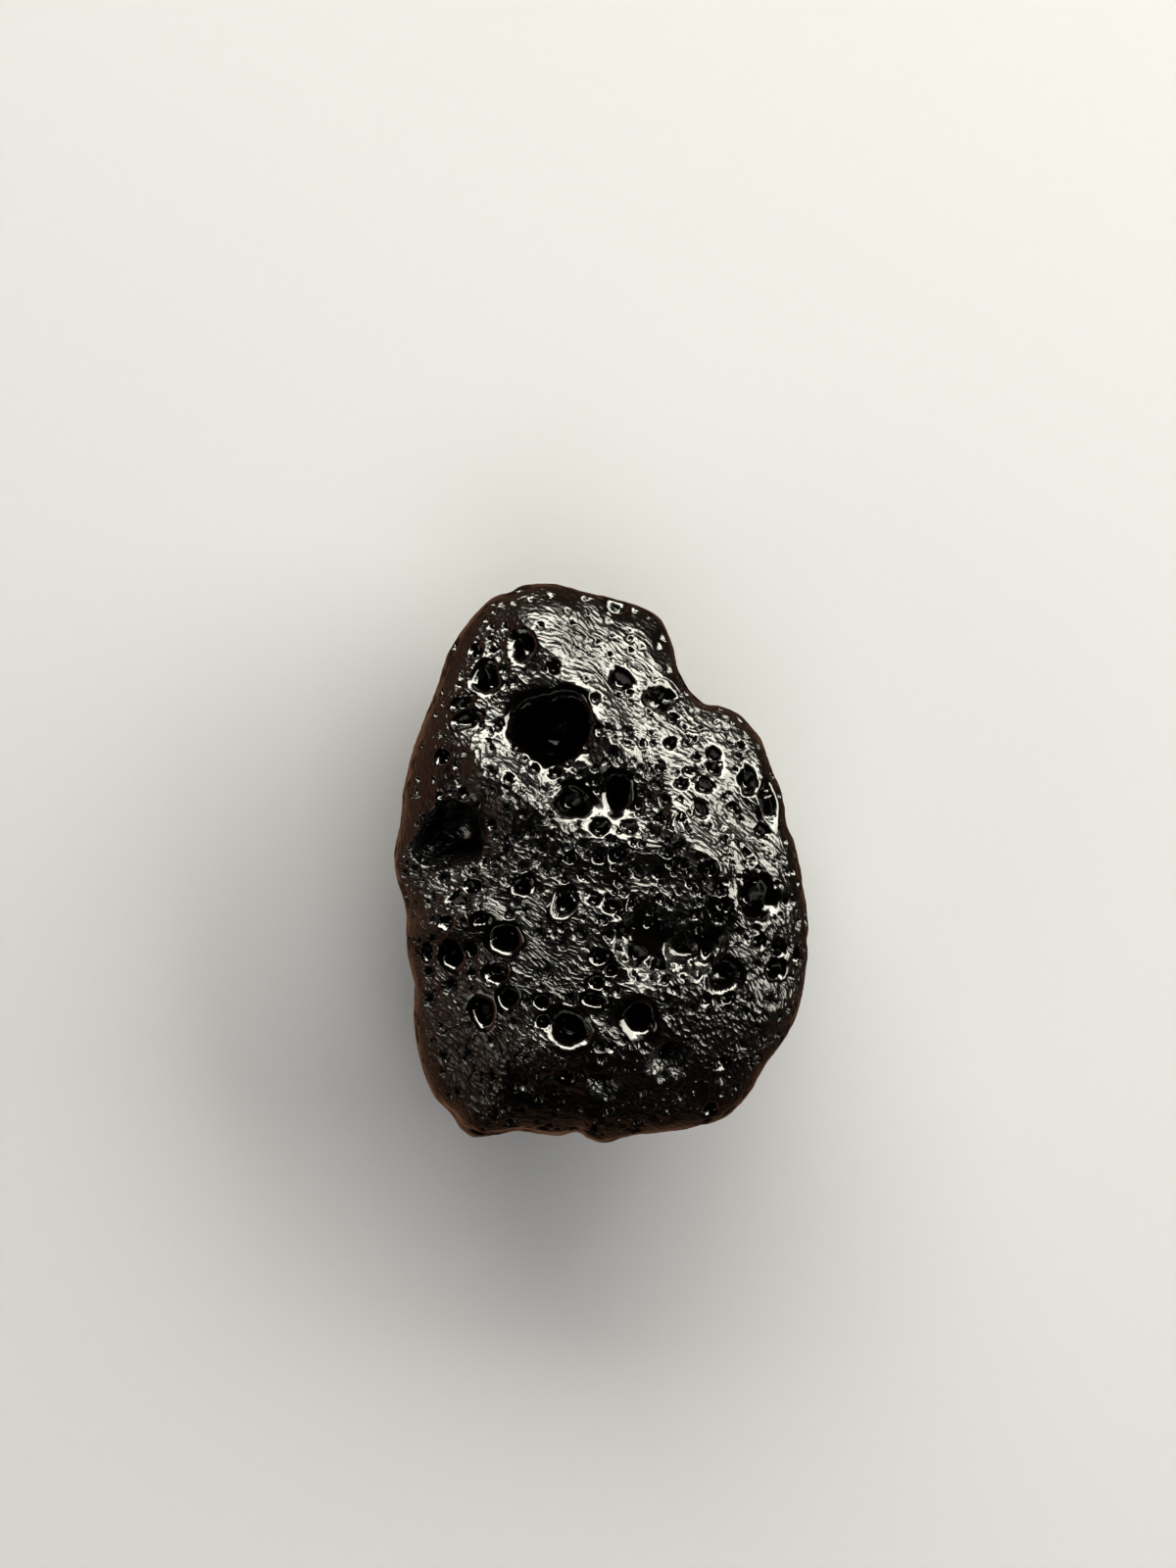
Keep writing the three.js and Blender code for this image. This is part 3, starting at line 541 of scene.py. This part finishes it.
def icosahedron():
    """Corners on the unit sphere and triangles that face outwards."""
    golden = (1 + math.sqrt(5)) / 2
    corners = []
    for a in (-1, 1):
        for b in (-golden, golden):
            corners += [(0, a, b), (a, b, 0), (b, 0, a)]
    corners = unit(np.array(corners, dtype=float))
    gaps = np.linalg.norm(corners[:, None] - corners[None], axis=2)
    linked = np.isclose(gaps, gaps[gaps > 0].min())
    triangles = []
    for a, b, c in itertools.combinations(range(len(corners)), 3):
        if linked[a, b] and linked[b, c] and linked[c, a]:
            out = np.dot(corners[a], np.cross(corners[b], corners[c])) > 0
            triangles.append((a, b, c) if out else (a, c, b))
    return corners, np.array(triangles)


def geodesic_sphere(parts):
    """Points and triangles of a sphere with near-equal edges."""
    corners, faces = icosahedron()
    edge_angle = math.atan(2)  # of one edge, seen from the middle
    rows = np.array([(i, j) for i in range(parts + 1) for j in range(parts + 1 - i)])
    number = np.full((parts + 2, parts + 2), -1)
    number[rows[:, 0], rows[:, 1]] = np.arange(len(rows))
    shares = np.column_stack((rows, parts - rows.sum(axis=1))) / parts
    weights = np.sin(shares * edge_angle)
    i, j = rows[rows.sum(axis=1) < parts].T
    pointing_out = np.column_stack((number[i, j], number[i + 1, j], number[i, j + 1]))
    i, j = rows[rows.sum(axis=1) < parts - 1].T
    between = np.column_stack((number[i + 1, j], number[i + 1, j + 1], number[i, j + 1]))
    patch = np.concatenate((pointing_out, between))
    points = np.concatenate([unit(weights @ corners[face[[1, 2, 0]]]) for face in faces])
    triangles = np.concatenate([patch + len(rows) * k for k in range(len(faces))])
    rounded = np.round(points, WELD_DIGITS)
    _, kept, merged = np.unique(rounded, axis=0, return_index=True, return_inverse=True)
    return points[kept], merged.reshape(-1)[triangles]


def follow_section(share, height, fullness):
    """Polar angles that go down the body's section at an even pace, from 0 on the axis to 1 on
    the girdle."""
    middle_radius = GIRDLE_RADII.mean()
    angles = np.linspace(0, math.pi / 2, SECTION_SAMPLES)
    scale = (np.sin(angles) ** fullness + np.cos(angles) ** fullness) ** (-1 / fullness)
    out = middle_radius * np.sin(angles) * scale
    up = height * np.cos(angles) * scale
    length = np.concatenate(([0], np.cumsum(np.hypot(np.diff(out), np.diff(up)))))
    return np.interp(share * length[-1], length, angles)


def mesh_directions():
    """Directions of the mesh's points, evenly spread over the skin, and its triangles."""
    directions, triangles = geodesic_sphere(MESH_PARTS)
    polar = np.arccos(np.clip(directions[:, 2], -1, 1))
    polar = 2 * np.arctan2(CROWN_PULL * np.sin(polar / 2), np.cos(polar / 2))
    share = polar / (math.pi / 2)
    crown = follow_section(np.minimum(share, 1), CROWN_HEIGHT, CROWN_FULLNESS)
    keel = follow_section(np.minimum(2 - share, 1), KEEL_DEPTH, KEEL_FULLNESS)
    polar = np.where(share < 1, crown, math.pi - keel)
    around = np.arctan2(directions[:, 1], directions[:, 0])
    level = np.sin(polar)
    placed = np.column_stack((level * np.cos(around), level * np.sin(around), np.cos(polar)))
    return placed, triangles


# ---------------------------------------------------------------- skin

HOLLOW_CALM = 0.85  # how far the floors of the broad hollows lose their ripples
PIT_MERGE = 4  # where pits overlap, more lets the deeper one win more sharply
WRINKLES = ((1.1, 0.045), (2.6, 0.022), (6.0, 0.008))  # waves per mm and height

# How the skin's ripples run at a few places of the pitted face: x, y, degrees from +X, strength.
FLOWS = (
    (-2.6, 6.6, -10, 0.8),
    (-0.6, 6.6, -30, 0.7),
    (1.6, 5.6, -38, 1.0),
    (1.6, 7.1, -30, 0.3),
    (4.0, 3.4, -30, 1.0),
    (-2.4, 2.6, -42, 1.0),
    (0.8, 0.6, -6, 0.8),
    (0.3, -0.9, -10, 0.7),
    (3.9, 0.0, -48, 0.2),
    (4.6, 1.6, -48, 1.0),
    (5.0, -3.6, -52, 1.6),
    (1.2, -2.2, -20, 0.9),
    (-1.4, -3.6, -30, 1.2),
    (-4.4, -2.9, -25, 2.0),
    (0.8, -4.9, -35, 1.6),
    (1.0, -6.6, -60, 0.6),
    (4.3, -5.9, -60, 1.3),
    (-3.6, -1.6, -25, 1.8),
    (-3.6, -6.2, -66, 0.7),
    (-5.4, 3.0, -75, 0.6),
)
FLOW_MEAN = -35  # degrees from +X, for the stretch from one place to the next
FLOW_REACH = 1.9  # how far each place counts
FLOW_LEAST = 1e-9  # what each place counts everywhere
PATCHES = (0.9, 0.9)  # waves per mm and size of the ripples' rise and fall from place to place
FLANKS = (0.05, 0.4)  # ripples fade in between these z parts of the skin's normal


def vertex_normals(points, triangles):
    a, b, c = (points[triangles[:, i]] for i in range(3))
    facing = np.cross(b - a, c - a)
    normals = np.zeros_like(points)
    for i in range(3):
        np.add.at(normals, triangles[:, i], facing)
    return unit(normals)


def sink_pits(directions, pits):
    """Skin with the pits sunk into it, and how calm the ripples are at each point."""
    skin = smooth_skin(directions)
    calm = hollow_at(skin[:, 0], skin[:, 1]) ** 2 * HOLLOW_CALM * (directions[:, 2] > 0)
    total = np.zeros(len(skin))
    pull = np.zeros_like(skin)
    for pit in pits:
        d = pit.distance(skin)
        near = np.nonzero(d < pit.SPREAD)[0]
        skin[near] = pit.snapped(skin[near], d[near])
    for pit in pits:
        d = pit.distance(skin)
        near = np.nonzero(d < pit.SPREAD)[0]
        weight = pit.sunk(d[near]) ** PIT_MERGE
        total[near] += weight
        pull[near] += weight[:, None] * pit.axis
        calm[near] = np.maximum(calm[near], pit.calm(d[near]))
    pulled = np.nonzero(total)[0]
    skin[pulled] -= total[pulled, None] ** (1 / PIT_MERGE) * unit(pull[pulled])
    return skin, calm


def sink_tiny_pits(points, triangles, calm):
    """Points with tiny pits sunk along the skin's normals."""
    normals = vertex_normals(points, triangles)
    tree = kdtree.KDTree(len(points))
    for i, point in enumerate(points):
        tree.insert(point, i)
    tree.balance()
    rng = np.random.default_rng(TINY_SEED)
    centres = rng.integers(len(points), size=TINY_COUNT)
    smallest, largest = TINY_RADII
    radii = smallest + (largest - smallest) * rng.random(TINY_COUNT) ** TINY_BIAS
    shift = np.zeros(len(points))
    for centre, radius in zip(centres, radii):
        if calm[centre] > TINY_CALM or points[centre][2] < TINY_LOWEST - GIRDLE_HEIGHT:
            continue
        found = tree.find_range(points[centre], radius * TINY_SEARCH)
        near = np.array([i for _, i, _ in found])
        offset = points[near] - points[centre]
        height = offset @ normals[centre]
        d = np.linalg.norm(offset - height[:, None] * normals[centre], axis=1) / radius
        hole = TINY_HOLLOWNESS * radius * np.sqrt(np.clip(1 - d * d, 0, None))
        inwards = np.clip((TINY_REACH - d) / (TINY_REACH - 1), 0, 1)
        depth = hole + TINY_FUNNEL * radius * inwards**2
        shift[near] = np.maximum(shift[near], depth)
    return points - shift[:, None] * normals


def wrinkle(points, triangles):
    """Points moved in and out along the skin's normals by smooth noise."""
    normals = vertex_normals(points, triangles)
    rise = np.zeros(len(points))
    for waves, height in WRINKLES:
        rise += height * np.array([noise.noise(Vector(p) * waves) for p in points])
    return points + rise[:, None] * normals


def flow_field(points):
    """Coordinates that run along the flow, across it and upwards, and the ripples' strength."""
    total = np.zeros(len(points))
    strength = np.zeros(len(points))
    flow = np.zeros((len(points), 2))
    for x, y, degrees, local in FLOWS:
        offset = points[:, :2] - (x, y)
        closeness = np.exp(-(offset**2).sum(axis=1) / (2 * FLOW_REACH**2))
        weight = closeness + FLOW_LEAST
        local_flow = np.column_stack(turned(offset[:, 0], offset[:, 1], degrees))
        total += weight
        strength += weight * local
        flow += weight[:, None] * (local_flow + turned(x, y, FLOW_MEAN))
    return np.column_stack((flow / total[:, None], points[:, 2])), strength / total


def stone_points():
    """The stone's points in millimetres, its triangles, and how calm each point is."""
    directions, triangles = mesh_directions()
    points, calm = sink_pits(directions, all_pits())
    points = sink_tiny_pits(points, triangles, calm)
    points = wrinkle(points, triangles)
    points[:, 2] = np.maximum(points[:, 2] + GIRDLE_HEIGHT, 0)
    middle = (points.min(axis=0) + points.max(axis=0)) / 2
    points[:, :2] -= middle[:2]
    return points, triangles, calm


def make_stone():
    points, triangles, calm = stone_points()
    mesh = bpy.data.meshes.new("tektite_skin")
    mesh.from_pydata((points * MM).tolist(), [], triangles.tolist())
    mesh.shade_smooth()
    coordinates, strength = flow_field(points)
    levelness = np.abs(vertex_normals(points, triangles)[:, 2])
    strength *= (1 - calm) * smoothstep(levelness, *FLANKS)
    waves, size = PATCHES
    patches = np.array([noise.noise(Vector(p) * waves) for p in points])
    strength *= np.clip(1 + size * patches, 0, None)
    flow = mesh.attributes.new("flow", "FLOAT_VECTOR", "POINT")
    flow.data.foreach_set("vector", coordinates.ravel())
    ripple = mesh.attributes.new("ripple", "FLOAT", "POINT")
    ripple.data.foreach_set("value", strength)
    stone = bpy.data.objects.new("tektite_skin", mesh)
    bpy.context.scene.collection.objects.link(stone)
    return stone


# ---------------------------------------------------------------- glass

IOR = 1.5
BASE_COLOUR = (0.0008, 0.0006, 0.0005, 1)
ROUGHNESS = (0.12, 0.33)  # where the skin is calm, and where it is rippled
COAT_WEIGHT = 0.5
COAT_ROUGHNESS = 0.09
EDDIES = 1.1  # per mm along and across the flow
EDDY_SHIFT = 0.5  # mm
DENT_RADII = (-0.35, 0.34)  # from none to the largest, as shares of a cell
DENT_LEAST = 0.001  # stands for none
DENT_FLOOR = 0.7  # share of a dent's radius where its hole is at its deepest
DENT_FUNNEL = 0.24  # depth of the slope around a dent's hole, over the hole's radius
DENT_REACH = 1.6  # and how far it goes, in radii


def vector_sum(nodes, links, operation, first, second):
    """One sum of a vector socket with another or with three numbers."""
    node = nodes.new("ShaderNodeVectorMath")
    node.operation = operation
    links.new(first, node.inputs[0])
    if isinstance(second, bpy.types.NodeSocket):
        links.new(second, node.inputs[1])
    else:
        node.inputs[1].default_value = second
    return node.outputs["Vector"]


def flow_coordinates(nodes, links):
    """Millimetres along the flow, across it and upwards, bent by eddies."""
    flow = nodes.new("ShaderNodeAttribute")
    flow.attribute_name = "flow"
    eddies = nodes.new("ShaderNodeTexNoise")
    eddies.inputs["Scale"].default_value = EDDIES
    eddies.inputs["Detail"].default_value = 1
    links.new(flow.outputs["Vector"], eddies.inputs["Vector"])
    centred = vector_sum(nodes, links, "SUBTRACT", eddies.outputs["Color"], (0.5, 0.5, 0.5))
    shift = vector_sum(nodes, links, "MULTIPLY", centred, (EDDY_SHIFT, EDDY_SHIFT, EDDY_SHIFT))
    return vector_sum(nodes, links, "ADD", flow.outputs["Vector"], shift)


def flow_texture(nodes, links, stretch, kind):
    """A texture whose waves per mm are given along the flow, across it and upwards."""
    texture = nodes.new(kind)
    texture.inputs["Scale"].default_value = 1
    scaled = vector_sum(nodes, links, "MULTIPLY", flow_coordinates(nodes, links), stretch)
    links.new(scaled, texture.inputs["Vector"])
    return texture


def arithmetic(nodes, links, operation, first, second):
    """One sum of two sockets or numbers."""
    node = nodes.new("ShaderNodeMath")
    node.operation = operation
    for socket, value in zip(node.inputs, (first, second)):
        if isinstance(value, bpy.types.NodeSocket):
            links.new(value, socket)
        else:
            socket.default_value = value
    return node.outputs[0]


def noise_height(nodes, links, stretch):
    texture = flow_texture(nodes, links, stretch, "ShaderNodeTexNoise")
    texture.inputs["Detail"].default_value = 1
    return texture.outputs["Fac"]


def scallop_height(nodes, links, stretch):
    """Shallow scoops side by side, with sharp ridges between them."""
    scoops = flow_texture(nodes, links, stretch, "ShaderNodeTexVoronoi")
    distance = scoops.outputs["Distance"]
    return arithmetic(nodes, links, "MULTIPLY", distance, distance)


def ramp(nodes, links, value, start, end):
    """Goes smoothly from 0 at start to 1 at end."""
    node = nodes.new("ShaderNodeMapRange")
    node.interpolation_type = "SMOOTHSTEP"
    node.inputs["From Min"].default_value = start
    node.inputs["From Max"].default_value = end
    links.new(value, node.inputs["Value"])
    return node.outputs["Result"]


def dent_height(nodes, links, stretch):
    """Round holes of many sizes with sloping rims, one to a cell and none in some."""
    cells = flow_texture(nodes, links, stretch, "ShaderNodeTexVoronoi")
    radius = nodes.new("ShaderNodeMapRange")
    radius.inputs["To Min"].default_value, radius.inputs["To Max"].default_value = DENT_RADII
    hue = nodes.new("ShaderNodeSeparateColor")
    links.new(cells.outputs["Color"], hue.inputs["Color"])
    links.new(hue.outputs["Red"], radius.inputs["Value"])
    wide = arithmetic(nodes, links, "MAXIMUM", radius.outputs["Result"], DENT_LEAST)
    share = arithmetic(nodes, links, "DIVIDE", cells.outputs["Distance"], wide)
    hole = ramp(nodes, links, share, 1, DENT_FLOOR)
    reach = nodes.new("ShaderNodeMapRange")
    reach.inputs["From Min"].default_value = DENT_REACH
    reach.inputs["From Max"].default_value = 1
    links.new(share, reach.inputs["Value"])
    slope = arithmetic(nodes, links, "POWER", reach.outputs["Result"], 2)
    funnel = arithmetic(nodes, links, "MULTIPLY", slope, DENT_FUNNEL)
    both = arithmetic(nodes, links, "ADD", hole, funnel)
    deep = arithmetic(nodes, links, "MULTIPLY", both, wide)
    return arithmetic(nodes, links, "MULTIPLY", deep, -1)


# The bump's layers: kind, waves per mm along the flow, across it and upwards, height in mm.
LAYERS = (
    (noise_height, (1.4, 3.2, 3.0), 0.035),
    (scallop_height, (3.6, 7.4, 6.0), 0.045),
    (scallop_height, (9.0, 15.0, 13.0), 0.007),
    (dent_height, (3.8, 5.0, 4.6), 0.15),
)


def rippled_normal(nodes, links, ripple):
    """The skin's normal with all layers on it, as strong as ripple says."""
    normal = None
    for make, stretch, height in LAYERS:
        bump = nodes.new("ShaderNodeBump")
        rise = arithmetic(nodes, links, "MULTIPLY", ripple, height * MM)
        links.new(rise, bump.inputs["Distance"])
        links.new(make(nodes, links, stretch), bump.inputs["Height"])
        if normal:
            links.new(normal, bump.inputs["Normal"])
        normal = bump.outputs["Normal"]
    return normal


def black_glass():
    material = bpy.data.materials.new("impact_glass")
    material.use_nodes = True
    nodes, links = material.node_tree.nodes, material.node_tree.links
    shader = nodes["Principled BSDF"]
    shader.inputs["IOR"].default_value = IOR
    shader.inputs["Coat Weight"].default_value = COAT_WEIGHT
    shader.inputs["Coat Roughness"].default_value = COAT_ROUGHNESS
    shader.inputs["Base Color"].default_value = BASE_COLOUR
    ripple = nodes.new("ShaderNodeAttribute")
    ripple.attribute_name = "ripple"
    normal = rippled_normal(nodes, links, ripple.outputs["Fac"])
    links.new(normal, shader.inputs["Normal"])
    links.new(normal, shader.inputs["Coat Normal"])
    roughness = nodes.new("ShaderNodeMapRange")
    roughness.inputs["To Min"].default_value, roughness.inputs["To Max"].default_value = ROUGHNESS
    links.new(ripple.outputs["Fac"], roughness.inputs["Value"])
    links.new(roughness.outputs["Result"], shader.inputs["Roughness"])
    return material


stone = make_stone()
stone.data.materials.append(black_glass())
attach(stone, "root")
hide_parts("tektite")

# ---------------------------------------------------------------- floor, light and camera

FLOOR_SIZE = 3.0  # metres
FLOOR_COLOUR = (0.235, 0.236, 0.246, 1)
FLOOR_ROUGHNESS = 0.9

KEY_COLOUR = (1.0, 0.98, 0.87)
WARM = (1.0, 0.48, 0.32)
WHITE = (1.0, 1.0, 1.0)
LIGHTS_AIM = (0, 0, 0.005)  # metres
# Area lights: name, azimuth and elevation in degrees, distance and two sides in metres, power in
# watts, colour, and whether the glass mirrors it.
LIGHTS = (
    ("key", 82, 33, 0.29, (0.42, 0.14), 2.9, KEY_COLOUR, True),
    ("halo", 74, 33, 0.3, (0.66, 0.28), 1.15, KEY_COLOUR, True),
    ("right", 16, 28, 0.3, (0.26, 0.2), 1.9, KEY_COLOUR, True),
    ("left", 170, 8, 0.3, (0.4, 0.2), 0.12, WARM, True),
    ("lower left", -155, 28, 0.3, (0.16, 0.1), 0.16, KEY_COLOUR, True),
    ("fill", -80, 62, 0.6, (0.5, 0.5), 3.2, WHITE, False),
)

# What the glass mirrors besides the lights: height in the sky as a sine, and colour.
SURROUNDINGS = (
    (-0.3, (0.2, 0.11, 0.07)),
    (0.0, (0.09, 0.052, 0.036)),
    (0.25, (0.004, 0.004, 0.004)),
)
LEFT_STRENGTH = 1.9  # of the surroundings at -X
RIGHT_STRENGTH = 0.2  # and at +X

# The camera looks straight down at the pitted face.
IMAGE_HEIGHT = 1600  # pixels
PIXELS_PER_MM = 33.1
IMAGE_MIDDLE = (-0.41, 2.45)  # millimetres, the place in the middle of the picture
FOCUS_HEIGHT = 5.5  # millimetres, where that scale holds
CAMERA_DISTANCE = 250.0  # millimetres
SENSOR = 24.0  # millimetres
NEAREST = 0.001  # metres, nothing closer is seen
VIEW_GAMMA = 0.8  # below 1, darks are deeper


def make_floor():
    material = bpy.data.materials.new("floor")
    material.use_nodes = True
    shader = material.node_tree.nodes["Principled BSDF"]
    shader.inputs["Base Color"].default_value = FLOOR_COLOUR
    shader.inputs["Roughness"].default_value = FLOOR_ROUGHNESS
    half = FLOOR_SIZE / 2
    mesh = bpy.data.meshes.new("floor")
    corners = [(-half, -half, 0), (half, -half, 0), (half, half, 0), (-half, half, 0)]
    mesh.from_pydata(corners, [], [(0, 1, 2, 3)])
    mesh.materials.append(material)
    floor = bpy.data.objects.new("floor", mesh)
    bpy.context.scene.collection.objects.link(floor)
    floor.visible_glossy = False


def make_light(name, azimuth, elevation, distance, size, power, colour, mirrored):
    light = bpy.data.lights.new(name, "AREA")
    light.color = colour
    light.shape = "RECTANGLE"
    light.size, light.size_y = size
    light.energy = power
    box = bpy.data.objects.new(name, light)
    bpy.context.scene.collection.objects.link(box)
    box.location = distance * direction_of(azimuth, elevation)
    box.visible_glossy = mirrored
    box.rotation_euler = (Vector(LIGHTS_AIM) - box.location).to_track_quat("-Z", "Y").to_euler()


def make_world():
    world = bpy.data.worlds.new("studio")
    bpy.context.scene.world = world
    world.use_nodes = True
    nodes, links = world.node_tree.nodes, world.node_tree.links
    place = nodes.new("ShaderNodeTexCoord")
    split = nodes.new("ShaderNodeSeparateXYZ")
    links.new(place.outputs["Generated"], split.inputs["Vector"])
    height = nodes.new("ShaderNodeMapRange")
    height.inputs["From Min"].default_value = -1
    links.new(split.outputs["Z"], height.inputs["Value"])
    across = nodes.new("ShaderNodeMapRange")
    across.inputs["From Min"].default_value = -1
    across.inputs["To Min"].default_value = LEFT_STRENGTH
    across.inputs["To Max"].default_value = RIGHT_STRENGTH
    links.new(split.outputs["X"], across.inputs["Value"])
    links.new(across.outputs["Result"], nodes["Background"].inputs["Strength"])
    sky = nodes.new("ShaderNodeValToRGB")
    links.new(height.outputs["Result"], sky.inputs["Fac"])
    links.new(sky.outputs["Color"], nodes["Background"].inputs["Color"])
    stops = sky.color_ramp.elements
    stops.new(0.5)
    for stop, (sine, colour) in zip(stops, SURROUNDINGS):
        stop.position = (sine + 1) / 2
        stop.color = (*colour, 1)


def make_camera():
    data = bpy.data.cameras.new("camera")
    data.sensor_fit = "VERTICAL"
    data.sensor_height = SENSOR
    data.lens = SENSOR * CAMERA_DISTANCE * PIXELS_PER_MM / IMAGE_HEIGHT
    data.clip_start = NEAREST
    camera = bpy.data.objects.new("camera", data)
    bpy.context.scene.collection.objects.link(camera)
    camera.location = Vector((*IMAGE_MIDDLE, FOCUS_HEIGHT + CAMERA_DISTANCE)) * MM
    bpy.context.scene.camera = camera


make_floor()
for light in LIGHTS:
    make_light(*light)
make_world()
make_camera()
view = bpy.context.scene.view_settings
view.view_transform = "Standard"
view.gamma = VIEW_GAMMA
